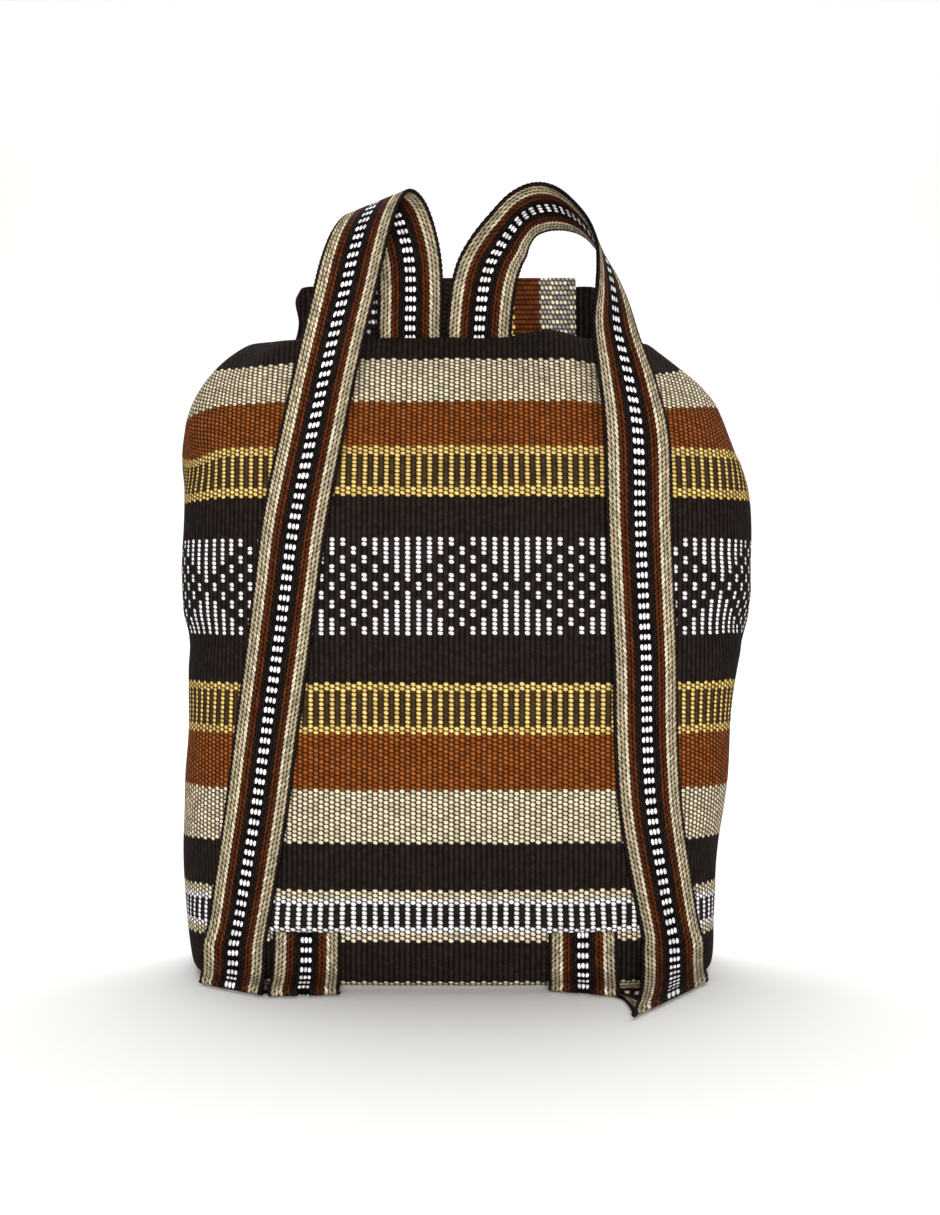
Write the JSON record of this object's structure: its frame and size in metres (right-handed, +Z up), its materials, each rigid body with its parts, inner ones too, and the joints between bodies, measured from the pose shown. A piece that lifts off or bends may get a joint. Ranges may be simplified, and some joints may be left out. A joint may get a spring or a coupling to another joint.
{
  "type": "woven drawstring backpack",
  "caption": "Striped woven backpack with a gathered drawstring neck, a fold-over flap and two looped shoulder straps, standing full on its flat bottom.",
  "frame": {"origin": "on the floor plane, inside the flat bottom of the sack, midway between its front and back walls at their widest", "axes": "+Z up along the height of the bag, -Y out of the panel that the straps lie on, +X to the right as seen from the strap side"},
  "size_m": [0.3397, 0.2465, 0.4587],
  "materials": {
    "striped_cloth": "matte hand-woven cotton and acrylic cloth with raised ribs",
    "flap_cloth": "matte hand-woven cloth with stripes that run up and down",
    "strap_webbing": "matte warp-faced woven webbing"
  },
  "bodies": {
    "root": {"bag_body": "striped_cloth", "top_flap": "flap_cloth", "strap_left": "strap_webbing", "strap_right": "strap_webbing"}
  },
  "joints": []
}
